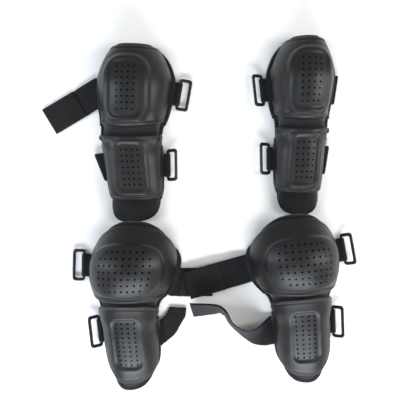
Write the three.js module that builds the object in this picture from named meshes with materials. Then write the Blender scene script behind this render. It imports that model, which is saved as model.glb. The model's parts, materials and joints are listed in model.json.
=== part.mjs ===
// A set of four body guards for riding: two elbow guards and two knee guards, laid out on a flat
// surface with their hard shells up. +Y runs from the knee guards to the elbow guards, +X to the
// right, +Z up. Every guard is a hard cup and a hard lower shell over a padded liner that folds at
// its waist, with two straps on one side and two rings on the other.
// Millimetres throughout.
import * as THREE from 'three';
import { mergeVertices } from 'three/addons/utils/BufferGeometryUtils.js';

// ---------------------------------------------------------------- driving dimensions
const WEBBING_WIDTH = 50; // elastic strap webbing
const WEBBING_THICK = 2.4;
const PATCH_LENGTH = 62; // hook patch sewn on the strap's end
const PATCH_THICK = 1.6;
const PATCH_OVERHANG = 1.2; // patch wider than its strap, on each side
const PATCH_GAP = 0.9;
const SHELL_THICK = 3;
const SHELL_AIR = 2.5; // between a shell and the liner under it
const WING_THICK = 8; // edge of the liner, where it meets the surface
const CLEAR = 0.3; // between pieces that touch
const SHELL_FOOT = WING_THICK + 2; // a shell's edge, above the liner's bottom edge
const EDGE_CLEAR = 1.6; // between the liner's edge and what is sewn to it
const PIVOT_HEIGHT = 30; // rivets and fold axis, above the surface
const WAIST_LIFT = 18; // the liner's edge is cut away by this much beside the pivot
const STRAP_LIFT = 6.4; // the liner's edge rides this high over a strap tucked under it
const EDGE_HEIGHT = 5.2; // middle of the liner's edge, where straps and tabs are sewn
const LYING = WEBBING_THICK / 2 + CLEAR; // middle of a strap that lies on the surface

const RING_LENGTH = 57; // along the liner's edge
const RING_REACH = 27; // out from the liner's edge
const RING_THICK = 4;
const RING_RAIL = 6; // the two end rails
const RING_BAR = 4; // the inner bar, held by the tab
const RING_OUTER_BAR = 5;
const TAB_WIDTH = 42;
const TAB_LOOP_RADIUS = 5;
const TAB_HOLE_RADIUS = 3.4;
const TAB_REACH = 6; // from the liner's edge to the middle of the ring's inner bar

const RIVET_RADIUS = 4.6;
const RIVET_HEIGHT = 2.6;
const RIVET_AT = 0.93; // how far round the arch from its crown, as a share

const FOLD_WIDTH = 12; // the liner's edge is raised this far to each side of the pivot
const FOLD_FADE = 26;
const TUCK_WIDTH = 32; // and this far to each side of a strap tucked under it
const TUCK_FADE = 24;
const ARCH_FULLNESS = 0.85; // below 1 an arch is fuller at its shoulders than an ellipse
const ACROSS = 12; // facets across an arch

// Each profile is a list of [distance along the limb, value]; 0 is the waist, + is up the limb.
const ELBOW = {
  top: 146,
  topDrop: -4, // how far the outline's corners fall short of its middle
  topSquare: 2, // higher is squarer
  lip: 6,
  lipRound: 12,
  linerSplit: -4, // where the liner folds, on its crown
  lowerTop: -13,
  lowerTopRound: 6,
  lowerEnd: -118,
  lowerEndRound: 10,
  lowerEndSquare: 3,
  tip: -155,
  tipDrop: 42,
  pivot: -12,
  padThick: 10,
  half: [
    [-155, 42], [-118, 47], [-60, 51], [-12, 54], [6, 56], [45, 65], [88, 70.5], [105, 67],
    [121, 61], [136, 53], [146, 45], [150, 41],
  ],
  crown: [[-155, 15], [-118, 36], [-60, 50], [-12, 58], [6, 61], [40, 73], [80, 80], [120, 69], [150, 52]],
};
const KNEE = {
  top: 146,
  topDrop: 44,
  topSquare: 2.4,
  lip: 13,
  lipRound: 9,
  linerSplit: 10,
  lowerTop: 7,
  lowerTopRound: -9,
  lowerEnd: -134,
  lowerEndRound: 27,
  lowerEndSquare: 3,
  tip: -147,
  tipDrop: 34,
  pivot: -8,
  padThick: 12,
  half: [
    [-147, 25], [-130, 33.5], [-114, 41], [-100, 44.8], [-87, 46.8], [-50, 48.8], [-8, 51],
    [8, 56], [32, 74], [68, 81.5], [90, 79.5], [108, 73.5], [128, 66], [146, 59],
  ],
  crown: [[-147, 18], [-120, 38], [-60, 57], [-8, 68], [10, 74], [40, 89], [75, 96], [112, 83], [146, 60]],
};

const UPPER_MARGIN = 6; // liner showing outside the cup
const LOWER_MARGIN = 2.5; // liner showing outside the lower shell

// The knee straps that curl on the surface, as pairs of edge points in the guard's own frame.
const CURLED_LEFT = [
  [53.5, -28, 5.2, 54, -74, 5.2],
  [62, -20, 3, 78, -53, 3],
  [65, -13, LYING, 96, -22, LYING],
  [68, -7, LYING, 97, -9, LYING],
];
const CURLED_RIGHT = [
  [-54, -30, 5.2, -51.5, -80, 5.2],
  [-66, -38, 12, -68, -82, 2],
  [-82, -43, 34, -88, -76, 3],
  [-100, -42, 48, -106, -60, 4],
  [-120, -27, 52, -125, -38, 4],
  [-131, -4, 50, -137, -16, 4],
  [-144, 5, 42, -149, -16, 4],
  [-190, 11, 38, -187, -18, 4],
];

// place and turn: the waist on the surface. wide and high: how far each guard has settled, as a
// factor. lean: how far its crown leans sideways. side: +1 where the rings are on the +X side.
// straps: the upper one, then the lower one. tucked: which of them lie under the guard. ringTilts:
// how far each ring's outer end is raised, in degrees.
const GUARDS = {
  elbow_left: {
    kind: ELBOW, place: [-111, 136.5], turn: 0, wide: 1, high: 1, lean: -8, side: 1,
    centre: [[-155, 7], [-118, 9], [-12, 2], [6, 3], [88, 7], [150, 8]],
    ringsAt: [70, -57],
    ringTilts: [0, 34],
    strapsAt: [70, -60],
    straps: [
      (edge) => lyingStrap(edge, 96, 31, LYING),
      (edge) => tuckedStrap(edge, 74, [3, 15]),
    ],
    tucked: [1],
  },
  elbow_right: {
    kind: ELBOW, place: [186, 149], turn: 0, wide: 0.86, high: 1.06, lean: 5, side: -1,
    centre: [[-155, -5], [-118, -4], [-12, 0], [88, 2], [150, 6]],
    ringsAt: [64, -58],
    ringTilts: [34, 34],
    strapsAt: [64, -60],
    straps: [
      (edge) => tuckedStrap(edge, 88, [3, 3]),
      (edge) => tuckedStrap(edge, 58, [3, 6]),
    ],
    tucked: [0, 1],
  },
  knee_left: {
    kind: KNEE, place: [-112, -166.5], turn: 0, wide: 1, high: 1, lean: -5, side: -1,
    centre: [[-147, 3], [-110, 6], [-8, 0], [68, 6], [146, 14]],
    ringsAt: [69, -46],
    ringTilts: [0, 34],
    strapsAt: [39, -49],
    straps: [
      (edge) => lyingStrap(edge, 62, 0, LYING),
      () => curledStrap(CURLED_LEFT),
    ],
    tucked: [],
  },
  knee_right: {
    kind: KNEE, place: [184, -154], turn: 5, wide: 1.02, high: 1, lean: 5, side: 1,
    centre: [[-147, -1], [-8, 0], [75, -4], [146, -4]],
    ringsAt: [76, -48],
    ringTilts: [34, 34],
    strapsAt: [58, -55],
    straps: [
      (edge) => lyingStrap(edge, 108, 10.6, 8.5),
      () => curledStrap(CURLED_RIGHT),
    ],
    tucked: [],
  },
};

// ---------------------------------------------------------------- materials
const plain = (color, roughness, metalness = 0) =>
  new THREE.MeshStandardMaterial({ color, roughness, metalness });
const materialFor = {
  shell: () => plain(0x2b2d30, 0.42),
  pad: () => plain(0x17181a, 0.95),
  webbing: () => plain(0x1d1e21, 0.9),
  hook: () => plain(0x141517, 0.95),
  ring: () => plain(0x222326, 0.35),
  rivet: () => plain(0x3a3b3d, 0.4, 0.6),
};

// ---------------------------------------------------------------- small helpers
// A smooth curve through [at, value] stops.
function through(stops) {
  const last = stops.length - 1;
  const slope = (k) => {
    const low = stops[Math.max(k - 1, 0)];
    const high = stops[Math.min(k + 1, last)];
    return (high[1] - low[1]) / (high[0] - low[0]);
  };
  return (at) => {
    if (at <= stops[0][0]) return stops[0][1];
    if (at >= stops[last][0]) return stops[last][1];
    const i = stops.findIndex((stop) => stop[0] > at) - 1;
    const span = stops[i + 1][0] - stops[i][0];
    const t = (at - stops[i][0]) / span;
    const rise = t * t * (3 - 2 * t);
    const leave = t * (1 - t) ** 2 * span * slope(i);
    const arrive = t * t * (t - 1) * span * slope(i + 1);
    return stops[i][1] * (1 - rise) + stops[i + 1][1] * rise + leave + arrive;
  };
}

const smoothStep = (low, high, value) => THREE.MathUtils.smoothstep(value, low, high);

// 1 within reach of the middle, falling to 0 over the fade.
const window = (value, middle, reach, fade) =>
  1 - smoothStep(reach, reach + fade, Math.abs(value - middle));

// A closed body from triangles given as lists of corner points.
function bodyFrom(faces) {
  const geometry = new THREE.BufferGeometry();
  const numbers = faces.flat().flatMap((p) => [p.x, p.y, p.z]);
  geometry.setAttribute('position', new THREE.Float32BufferAttribute(numbers, 3));
  return mergeVertices(geometry, 1e-4);
}

// A closed body between two grids of points: outer[row][column] over inner[row][column].
function bodyBetween(outer, inner) {
  const rows = outer.length - 1;
  const columns = outer[0].length - 1;
  const faces = [];
  const quad = (a, b, c, d) => faces.push([a, b, c], [a, c, d]);
  for (let r = 0; r < rows; r += 1) {
    for (let c = 0; c < columns; c += 1) {
      quad(outer[r][c], outer[r][c + 1], outer[r + 1][c + 1], outer[r + 1][c]);
      quad(inner[r][c], inner[r + 1][c], inner[r + 1][c + 1], inner[r][c + 1]);
    }
    quad(outer[r][0], outer[r + 1][0], inner[r + 1][0], inner[r][0]);
    quad(outer[r + 1][columns], outer[r][columns], inner[r][columns], inner[r + 1][columns]);
  }
  for (let c = 0; c < columns; c += 1) {
    quad(outer[0][c + 1], outer[0][c], inner[0][c], inner[0][c + 1]);
    quad(outer[rows][c], outer[rows][c + 1], inner[rows][c + 1], inner[rows][c]);
  }
  return bodyFrom(faces);
}

// A flat strip of webbing. Each station is the pair of points on its two edges.
function ribbon(stations, thick) {
  const normals = stations.map(([a, b], i) => {
    const before = stations[Math.max(i - 1, 0)];
    const after = stations[Math.min(i + 1, stations.length - 1)];
    const middle = (pair) => pair[0].clone().add(pair[1]).multiplyScalar(0.5);
    const along = middle(after).sub(middle(before));
    return along.cross(b.clone().sub(a)).normalize().multiplyScalar(thick / 2);
  });
  const layer = (sign) => stations.map((pair, i) =>
    pair.map((point) => point.clone().addScaledVector(normals[i], sign)));
  return bodyBetween(layer(-1), layer(1));
}

// ---------------------------------------------------------------- one guard's shape
function shapeOf(spec) {
  const { kind } = spec;
  const half = through(kind.half);
  const crown = through(kind.crown);
  const centre = through(spec.centre);
  // Height of the liner's bottom edge, raised beside the pivot and over a tucked strap.
  const foot = (side, y) => {
    const waist = WAIST_LIFT * window(y, kind.pivot + 4, FOLD_WIDTH, FOLD_FADE);
    if (side === spec.side) return waist;
    const straps = spec.tucked.map((k) =>
      STRAP_LIFT * window(y, spec.strapsAt[k], TUCK_WIDTH, TUCK_FADE));
    return Math.max(waist, ...straps);
  };
  // How much liner shows beside the shells: more round the cup than round the lower shell.
  const margin = (y) => THREE.MathUtils.lerp(
    LOWER_MARGIN, UPPER_MARGIN, smoothStep(kind.pivot, kind.pivot + 40, y));
  return {
    ...kind,
    foot,
    margin,
    half: (y) => half(y) * spec.wide,
    crown: (y) => crown(y) * spec.high,
    centre,
    lean: spec.lean,
  };
}

// A point of an arch over the limb: u runs from -1 to 1 across it.
function archPoint(shape, u, y, inset, above) {
  const angle = (u * Math.PI) / 2;
  const low = shape.foot(Math.sign(u), y) + above;
  const rise = Math.max(shape.crown(y) - inset - low, 1);
  const half = shape.half(y) - shape.margin(y) - inset;
  const x = shape.centre(y) + half * Math.sin(angle) + shape.lean * Math.cos(angle) ** 2;
  return new THREE.Vector3(x, y, low + rise * Math.cos(angle) ** ARCH_FULLNESS);
}

// Rows of columns over an arch, from y = start(u) to y = end(u).
function grid(rows, start, end, point) {
  return Array.from({ length: rows + 1 }, (_, r) =>
    Array.from({ length: ACROSS + 1 }, (__, c) => {
      const u = (2 * c) / ACROSS - 1;
      return point(u, THREE.MathUtils.lerp(start(u), end(u), r / rows));
    }));
}

function shellBody(shape, rows, start, end) {
  const layer = (inset) => grid(rows, start, end, (u, y) =>
    archPoint(shape, u, y, inset, SHELL_FOOT));
  return bodyBetween(layer(0), layer(SHELL_THICK));
}

// A liner piece: an arch with a wing along each side that lies on the surface.
function linerBody(shape, thick, rows, start, end) {
  const outerInset = SHELL_THICK + SHELL_AIR;
  const wing = (side, y, z) => new THREE.Vector3(
    shape.centre(y) + side * shape.half(y), y, shape.foot(side, y) + z);
  const withWings = (layer, z) => layer.map((row) => [
    wing(-1, row[0].y, z),
    ...row,
    wing(1, row.at(-1).y, z),
  ]);
  const outer = grid(rows, start, end, (u, y) =>
    archPoint(shape, u, y, outerInset, WING_THICK));
  const inner = grid(rows, start, end, (u, y) =>
    archPoint(shape, u, y, outerInset + thick, 0));
  return bodyBetween(withWings(outer, WING_THICK - 1), withWings(inner, 0));
}

// ---------------------------------------------------------------- pieces sewn to the edge
// The liner's edge at y: a point just outside it, the way out, and the way along it.
function edgeAt(shape, side, y) {
  const x = (at) => shape.centre(at) + side * shape.half(at);
  const along = new THREE.Vector3(x(y + 1) - x(y - 1), 2, 0).normalize();
  const out = new THREE.Vector3(side * along.y, -side * along.x, 0);
  const point = new THREE.Vector3(x(y), y, 0).addScaledVector(out, EDGE_CLEAR);
  return { point, along, out };
}

const fromEdge = (edge, out, along, z) => edge.point.clone()
  .addScaledVector(edge.out, out)
  .addScaledVector(edge.along, along)
  .setZ(z);

// A geometry drawn with X out of the edge, Y along it and Z up, set down on the edge.
function setOnEdge(mesh, edge) {
  mesh.position.copy(edge.point);
  mesh.rotation.z = Math.atan2(edge.out.y, edge.out.x);
  return mesh;
}

function ringGeometry(degrees) {
  const corner = 4;
  const rounded = (path, x0, y0, x1, y1, r) => {
    path.moveTo(x0 + r, y0);
    path.lineTo(x1 - r, y0);
    path.absarc(x1 - r, y0 + r, r, -Math.PI / 2, 0);
    path.lineTo(x1, y1 - r);
    path.absarc(x1 - r, y1 - r, r, 0, Math.PI / 2);
    path.lineTo(x0 + r, y1);
    path.absarc(x0 + r, y1 - r, r, Math.PI / 2, Math.PI);
    path.lineTo(x0, y0 + r);
    path.absarc(x0 + r, y0 + r, r, Math.PI, 1.5 * Math.PI);
    return path;
  };
  const inner = TAB_REACH - RING_BAR / 2;
  const outer = inner + RING_REACH - 4;
  const long = RING_LENGTH / 2;
  const shape = rounded(new THREE.Shape(), inner, -long, outer, long, corner);
  const slot = rounded(new THREE.Path(), inner + RING_BAR, -long + RING_RAIL,
    outer - RING_OUTER_BAR, long - RING_RAIL, 1.5);
  shape.holes.push(slot);
  const geometry = new THREE.ExtrudeGeometry(shape, {
    depth: RING_THICK, bevelEnabled: false, curveSegments: 3,
  });
  geometry.translate(-TAB_REACH, 0, -RING_THICK / 2);
  geometry.rotateY(-THREE.MathUtils.degToRad(degrees));
  return geometry.translate(TAB_REACH, 0, EDGE_HEIGHT);
}

// A folded piece of webbing: a tongue sewn to the liner and a loop round the ring's inner bar.
function tabGeometry() {
  const tongue = WEBBING_THICK / 2;
  const start = Math.asin(tongue / TAB_LOOP_RADIUS);
  const shape = new THREE.Shape();
  shape.moveTo(0, -tongue);
  shape.absarc(TAB_REACH, 0, TAB_LOOP_RADIUS, Math.PI + start, 3 * Math.PI - start);
  shape.lineTo(0, tongue);
  const hole = new THREE.Path();
  hole.absarc(TAB_REACH, 0, TAB_HOLE_RADIUS, 0, 2 * Math.PI, true);
  shape.holes.push(hole);
  const geometry = new THREE.ExtrudeGeometry(shape, {
    depth: TAB_WIDTH, bevelEnabled: false, curveSegments: 12,
  });
  return geometry.rotateX(Math.PI / 2).translate(0, TAB_WIDTH / 2, EDGE_HEIGHT);
}

function rivetGeometry() {
  const profile = [
    [0, 0], [RIVET_RADIUS, 0], [RIVET_RADIUS, RIVET_HEIGHT * 0.4],
    [RIVET_RADIUS * 0.7, RIVET_HEIGHT * 0.85], [0, RIVET_HEIGHT],
  ].map(([x, y]) => new THREE.Vector2(x, y));
  return new THREE.LatheGeometry(profile, 12);
}

// ---------------------------------------------------------------- straps
// A strap that lies out on the surface: it leaves the edge, drops to the surface and runs
// straight, so many degrees toward -Y of the guard's own X axis. height is where its far part lies.
function lyingStrap(edge, length, degrees, height) {
  const heading = THREE.MathUtils.degToRad(degrees);
  const side = Math.sign(edge.out.x);
  const away = new THREE.Vector3(side * Math.cos(heading), -Math.sin(heading), 0);
  const slant = away.angleTo(edge.out);
  const half = WEBBING_WIDTH / 2;
  const wide = new THREE.Vector3(-side * away.y, side * away.x, 0).multiplyScalar(half);
  const rootWide = edge.along.clone().multiplyScalar(half / Math.cos(slant));
  const pair = (middle, across) => [middle.clone().sub(across), middle.clone().add(across)];
  const at = (out, z) => edge.point.clone().addScaledVector(away, out).setZ(z);
  const square = half * Math.tan(slant);
  const drop = 10;
  const stations = [
    pair(at(0, EDGE_HEIGHT), rootWide),
    pair(at(square + drop - 2, (EDGE_HEIGHT + height) / 2), wide),
    pair(at(square + 2 * drop - 2, height), wide),
    pair(at(length, height), wide),
  ];
  const hinge = stations[0].map((p) => p.clone().addScaledVector(edge.out, WEBBING_THICK / 2));
  return { stations, hinge };
}

// A strap folded back under its own guard. fold is how far the two ends of the fold stand out.
function tuckedStrap(edge, length, fold) {
  const upper = STRAP_LIFT + WING_THICK / 2 - 1;
  const turn = WEBBING_THICK * 0.6;
  const half = WEBBING_WIDTH / 2;
  const middle = (upper + LYING) / 2;
  const pair = (outs, z) => outs.map((out, i) => fromEdge(edge, out, i ? half : -half, z));
  const stations = [
    pair([0, 0], upper),
    pair(fold.map((out) => out - turn), upper),
    pair(fold, middle),
    pair(fold.map((out) => out - turn), LYING),
    pair([-length, -length], LYING),
  ];
  return { stations, hinge: stations[1] };
}

// The hook patch on the far end of a strap, on its upper face.
function patchOn(stations) {
  const [a, b] = stations.at(-1);
  const [c, d] = stations.at(-2);
  const run = a.clone().add(b).sub(c).sub(d).length() / 2;
  const share = Math.min(PATCH_LENGTH / run, 0.9);
  const back = [a.clone().lerp(c, share), b.clone().lerp(d, share)];
  const end = [a.clone(), b.clone()];
  const along = end[0].clone().sub(back[0]);
  const normal = along.cross(b.clone().sub(a)).normalize();
  normal.multiplyScalar(Math.sign(normal.z));
  const raise = WEBBING_THICK / 2 + PATCH_GAP + PATCH_THICK / 2;
  return [back, end].map(([left, right]) => {
    const over = right.clone().sub(left).setLength(PATCH_OVERHANG);
    return [left.sub(over), right.add(over)].map((p) => p.addScaledVector(normal, raise));
  });
}

// A strap given station by station.
function curledStrap(rows) {
  const stations = rows.map((row) => [
    new THREE.Vector3(...row.slice(0, 3)),
    new THREE.Vector3(...row.slice(3)),
  ]);
  return { stations, hinge: stations[0] };
}

// ---------------------------------------------------------------- build
const set = new THREE.Group();

function addGuard(name, spec) {
  const shape = shapeOf(spec);
  const { kind, side } = spec;
  const guard = new THREE.Group();
  guard.position.set(spec.place[0], spec.place[1], 0);
  guard.rotation.z = THREE.MathUtils.degToRad(spec.turn);
  set.add(guard);
  const add = (piece, geometry, material) => {
    const mesh = new THREE.Mesh(geometry, materialFor[material]());
    mesh.name = `${name}_${piece}`;
    guard.add(mesh);
    return mesh;
  };

  const lip = (u) => kind.lip + kind.lipRound * u * u;
  const top = (u) => kind.top - kind.topDrop * Math.abs(u) ** kind.topSquare;
  const upperLinerStart = (u) => THREE.MathUtils.lerp(kind.linerSplit + 4, kind.pivot + 14, u * u);
  const lowerLinerTop = (u) => THREE.MathUtils.lerp(kind.linerSplit - 4, kind.pivot - 4, u * u);
  const lowerTop = (u) => kind.lowerTop + kind.lowerTopRound * u * u;
  const lowerEnd = (u) => kind.lowerEnd + kind.lowerEndRound * Math.abs(u) ** kind.lowerEndSquare;
  const tip = (u) => kind.tip + kind.tipDrop * (1 - Math.sqrt(1 - 0.98 * u * u));

  add('cup_shell', shellBody(shape, 10, lip, (u) => top(u) - UPPER_MARGIN), 'shell');
  add('upper_liner', linerBody(shape, kind.padThick, 10, upperLinerStart, top), 'pad');
  add('waist_band', linerBody(shape, kind.padThick - 3, 1,
    (u) => lowerLinerTop(u) + 2 * CLEAR, (u) => upperLinerStart(u) - 2 * CLEAR), 'pad');
  const lowerShell = add('lower_shell', shellBody(shape, 8, lowerEnd, lowerTop), 'shell');
  add('lower_liner', linerBody(shape, kind.padThick - 2, 8, tip, lowerLinerTop), 'pad');

  const pivot = new THREE.Vector3(0, kind.pivot, PIVOT_HEIGHT);
  lowerShell.userData.axis = [pivot, pivot.clone().setX(1)];

  ['upper', 'lower'].forEach((level, k) => {
    const ringEdge = edgeAt(shape, side, spec.ringsAt[k]);
    const tilt = spec.ringTilts[k];
    const ring = setOnEdge(add(`${level}_ring`, ringGeometry(tilt), 'ring'), ringEdge);
    ring.userData.tilt = tilt;
    const bar = new THREE.Vector3(TAB_REACH, 0, EDGE_HEIGHT);
    ring.userData.axis = [bar, bar.clone().setY(-1)];
    setOnEdge(add(`${level}_ring_tab`, tabGeometry(), 'webbing'), ringEdge);
    const strapEdge = edgeAt(shape, -side, spec.strapsAt[k]);
    const { stations, hinge } = spec.straps[k](strapEdge);
    const strap = add(`${level}_strap`, ribbon(stations, WEBBING_THICK), 'webbing');
    strap.userData.axis = hinge;
    add(`${level}_hook_patch`, ribbon(patchOn(stations), PATCH_THICK), 'hook');
  });

  for (const [end, at] of [['outer', side], ['inner', -side]]) {
    const seat = archPoint(shape, at * RIVET_AT, kind.pivot, 0, SHELL_FOOT);
    const nearby = archPoint(shape, at * (RIVET_AT - 0.02), kind.pivot, 0, SHELL_FOOT);
    const upward = nearby.sub(seat).normalize();
    const normal = new THREE.Vector3(upward.z, 0, -upward.x).multiplyScalar(at);
    if (normal.x * at < 0) normal.negate();
    const rivet = add(`${end}_rivet`, rivetGeometry(), 'rivet');
    rivet.position.copy(seat).addScaledVector(normal, 2 * CLEAR);
    rivet.quaternion.setFromUnitVectors(new THREE.Vector3(0, 1, 0), normal);
  }
}

for (const [name, spec] of Object.entries(GUARDS)) addGuard(name, spec);

// The origin is the middle of the set's footprint, on the surface that it lies on.
set.updateMatrixWorld(true);
const box = new THREE.Box3().setFromObject(set, true);
set.position.set(-(box.min.x + box.max.x) / 2, -(box.min.y + box.max.y) / 2, -box.min.z);

export default set;
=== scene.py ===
"""Looks for a set of four riding guards: two elbow guards and two knee guards, lying shells up.

Lengths are in millimetres in each guard's own frame (+Y up the limb, +Z up) until world() turns
them into metres in the row frame."""

import json
import math

import bmesh
import bpy
import numpy as np
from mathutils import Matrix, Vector


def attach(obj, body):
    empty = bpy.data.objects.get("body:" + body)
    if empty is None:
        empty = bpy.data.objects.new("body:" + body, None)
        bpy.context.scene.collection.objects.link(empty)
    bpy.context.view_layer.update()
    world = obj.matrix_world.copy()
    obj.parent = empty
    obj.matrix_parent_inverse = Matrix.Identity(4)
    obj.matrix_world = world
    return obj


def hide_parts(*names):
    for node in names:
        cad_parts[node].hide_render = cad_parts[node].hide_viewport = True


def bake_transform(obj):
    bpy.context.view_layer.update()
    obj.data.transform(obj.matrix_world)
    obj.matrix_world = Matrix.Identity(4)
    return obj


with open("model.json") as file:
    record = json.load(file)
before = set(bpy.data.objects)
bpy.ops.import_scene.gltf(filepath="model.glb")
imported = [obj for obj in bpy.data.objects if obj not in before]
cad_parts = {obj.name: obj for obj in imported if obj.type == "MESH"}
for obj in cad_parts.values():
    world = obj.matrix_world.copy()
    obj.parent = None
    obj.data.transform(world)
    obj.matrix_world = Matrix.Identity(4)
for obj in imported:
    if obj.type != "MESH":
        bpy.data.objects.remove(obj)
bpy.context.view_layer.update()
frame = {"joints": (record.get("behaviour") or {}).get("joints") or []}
MM = 0.001

# ------------------------------------------------------------------ the guards' dimensions
SHELL_THICK = 3.0
SHELL_AIR = 2.5  # between a shell and its liner
WING_THICK = 8.0
SHELL_FOOT = WING_THICK + 2  # height of a shell's edge over the liner's underside
EDGE_CLEAR = 1.6  # between the liner's edge and what is sewn to it
WAIST_LIFT = 18.0  # the edge rises this much where the guard folds
STRAP_LIFT = 6.4  # and this much over a strap tucked under it
EDGE_HEIGHT = 5.2  # of the straps' roots and the rings' tabs
WEBBING_WIDTH = 50.0
WEBBING_THICK = 2.4
LYING = 1.5  # middle height of webbing that lies on the surface
UPPER_MARGIN = 6.0  # from the liner's edge in to the cup's
LOWER_MARGIN = 2.5  # and to the lower shell's
RIVET_AT = 0.93  # u of the rivets
TAB_REACH = 6.0  # from the liner's edge to the ring's bar
UP = np.array([0, 0, 1.0])
EDGE_ROUND = 3.2  # a padded edge rounds out this far past its last row of points

ELBOW = dict(
    top=146, top_drop=-4, top_square=2, lip=6, lip_round=12, split=-4,
    lower_top=-13, lower_top_round=6, lower_end=-118, lower_end_round=10, lower_end_square=3,
    tip=-155, tip_drop=42, pivot=-12, pad=10,
    half=[[-155, 42], [-118, 47], [-60, 51], [-12, 54], [6, 56], [45, 65], [88, 70.5], [105, 67],
          [121, 61], [136, 53], [146, 45], [150, 41]],
    crown=[[-155, 15], [-118, 36], [-60, 50], [-12, 58], [6, 61], [40, 73], [80, 80], [120, 69],
           [150, 52]],
)
KNEE = dict(
    top=146, top_drop=44, top_square=2.4, lip=13, lip_round=9, split=10,
    lower_top=7, lower_top_round=-9, lower_end=-134, lower_end_round=27, lower_end_square=3,
    tip=-147, tip_drop=34, pivot=-8, pad=12,
    half=[[-147, 25], [-130, 33.5], [-114, 41], [-100, 44.8], [-87, 46.8], [-50, 48.8], [-8, 51],
          [8, 56], [32, 74], [68, 81.5], [90, 79.5], [108, 73.5], [128, 66], [146, 59]],
    crown=[[-147, 18], [-120, 38], [-60, 57], [-8, 68], [10, 74], [40, 89], [75, 96], [112, 83],
           [146, 60]],
)
GUARDS = {
    "elbow_left": dict(
        kind=ELBOW, turn=0, wide=1, high=1, lean=-8, side=1,
        centre=[[-155, 7], [-118, 9], [-12, 2], [6, 3], [88, 7], [150, 8]],
        rings_at=[70, -57], tilts=[0, 34], straps_at=[70, -60], tucked=[1], panel=[0.0, 0.08],
    ),
    "elbow_right": dict(
        kind=ELBOW, turn=0, wide=0.86, high=1.06, lean=5, side=-1,
        centre=[[-155, -5], [-118, -4], [-12, 0], [88, 2], [150, 6]],
        rings_at=[64, -58], tilts=[34, 34], straps_at=[64, -60], tucked=[0, 1], panel=[0.03, 0.0],
    ),
    "knee_left": dict(
        kind=KNEE, turn=0, wide=1, high=1, lean=-5, side=-1,
        centre=[[-147, 3], [-110, 6], [-8, 0], [68, 6], [146, 14]],
        rings_at=[69, -46], tilts=[0, 34], straps_at=[39, -49], tucked=[], panel=[-0.02, 0.02],
    ),
    "knee_right": dict(
        kind=KNEE, turn=5, wide=1.02, high=1, lean=5, side=1,
        centre=[[-147, -1], [-8, 0], [75, -4], [146, -4]],
        rings_at=[76, -48], tilts=[34, 34], straps_at=[58, -55], tucked=[], panel=[0.04, -0.06],
    ),
}


# ------------------------------------------------------------------ curves and fields
def through(stops):
    """A smooth curve through [at, value] stops."""
    xs = np.array([s[0] for s in stops], float)
    vs = np.array([s[1] for s in stops], float)
    last = len(xs) - 1
    low = np.maximum(np.arange(last + 1) - 1, 0)
    high = np.minimum(np.arange(last + 1) + 1, last)
    slopes = (vs[high] - vs[low]) / (xs[high] - xs[low])

    def at(x):
        x = np.clip(np.asarray(x, float), xs[0], xs[-1])
        i = np.clip(np.searchsorted(xs, x, side="right") - 1, 0, last - 1)
        span = xs[i + 1] - xs[i]
        t = (x - xs[i]) / span
        rise = t * t * (3 - 2 * t)
        leave = t * (1 - t) ** 2 * span * slopes[i]
        arrive = t * t * (t - 1) * span * slopes[i + 1]
        return vs[i] * (1 - rise) + vs[i + 1] * rise + leave + arrive

    return at


def smooth(low, high, x):
    t = np.clip((np.asarray(x, float) - low) / (high - low), 0, 1)
    return t * t * (3 - 2 * t)


def window(x, middle, reach, fade):
    return 1 - smooth(reach, reach + fade, np.abs(x - middle))


def bump(x, middle, width):
    """A rounded ridge of height 1 and so many millimetres across."""
    t = np.clip(np.abs(x - middle) / (width / 2), 0, 1)
    return (1 - t * t) ** 2


def box_distance(x, y, half_x, half_y, corner):
    """Distance outside a rounded rectangle, negative inside."""
    qx = np.abs(x) - half_x + corner
    qy = np.abs(y) - half_y + corner
    outside = np.hypot(np.maximum(qx, 0), np.maximum(qy, 0))
    return outside + np.minimum(np.maximum(qx, qy), 0) - corner


def waves(x, y, seed):
    """Soft irregular undulation between about -1 and 1."""
    rng = np.random.default_rng(seed)
    total = np.zeros(np.broadcast(x, y).shape)
    for wavelength, share in ((46, 0.5), (27, 0.3), (15, 0.2)):
        for _ in range(3):
            angle, phase = rng.uniform(0, 2 * math.pi, 2)
            along = x * math.cos(angle) + y * math.sin(angle)
            total += share / 1.7 * np.sin(2 * math.pi * along / wavelength + phase)
    return total


def unit(vectors, least=1e-6):
    """The same directions at length 1."""
    return vectors / np.maximum(np.linalg.norm(vectors, axis=-1, keepdims=True), least)


def square_to(vectors, axes):
    """The directions of vectors, turned square to the unit vectors axes."""
    return unit(vectors - axes * np.sum(vectors * axes, axis=1, keepdims=True))


def distances(points):
    """How far along its row each point lies."""
    gaps = np.linalg.norm(np.diff(np.reshape(points, (len(points), -1)), axis=0), axis=1)
    return np.concatenate([[0], np.cumsum(gaps)])


def picked(rows, steps, at):
    """Rows of numbers known at steps, read off in between."""
    flat = np.reshape(rows, (len(rows), -1))
    out = np.stack([np.interp(at, steps, column) for column in flat.T], -1)
    return out.reshape(*np.shape(at), *np.shape(rows)[1:])


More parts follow.
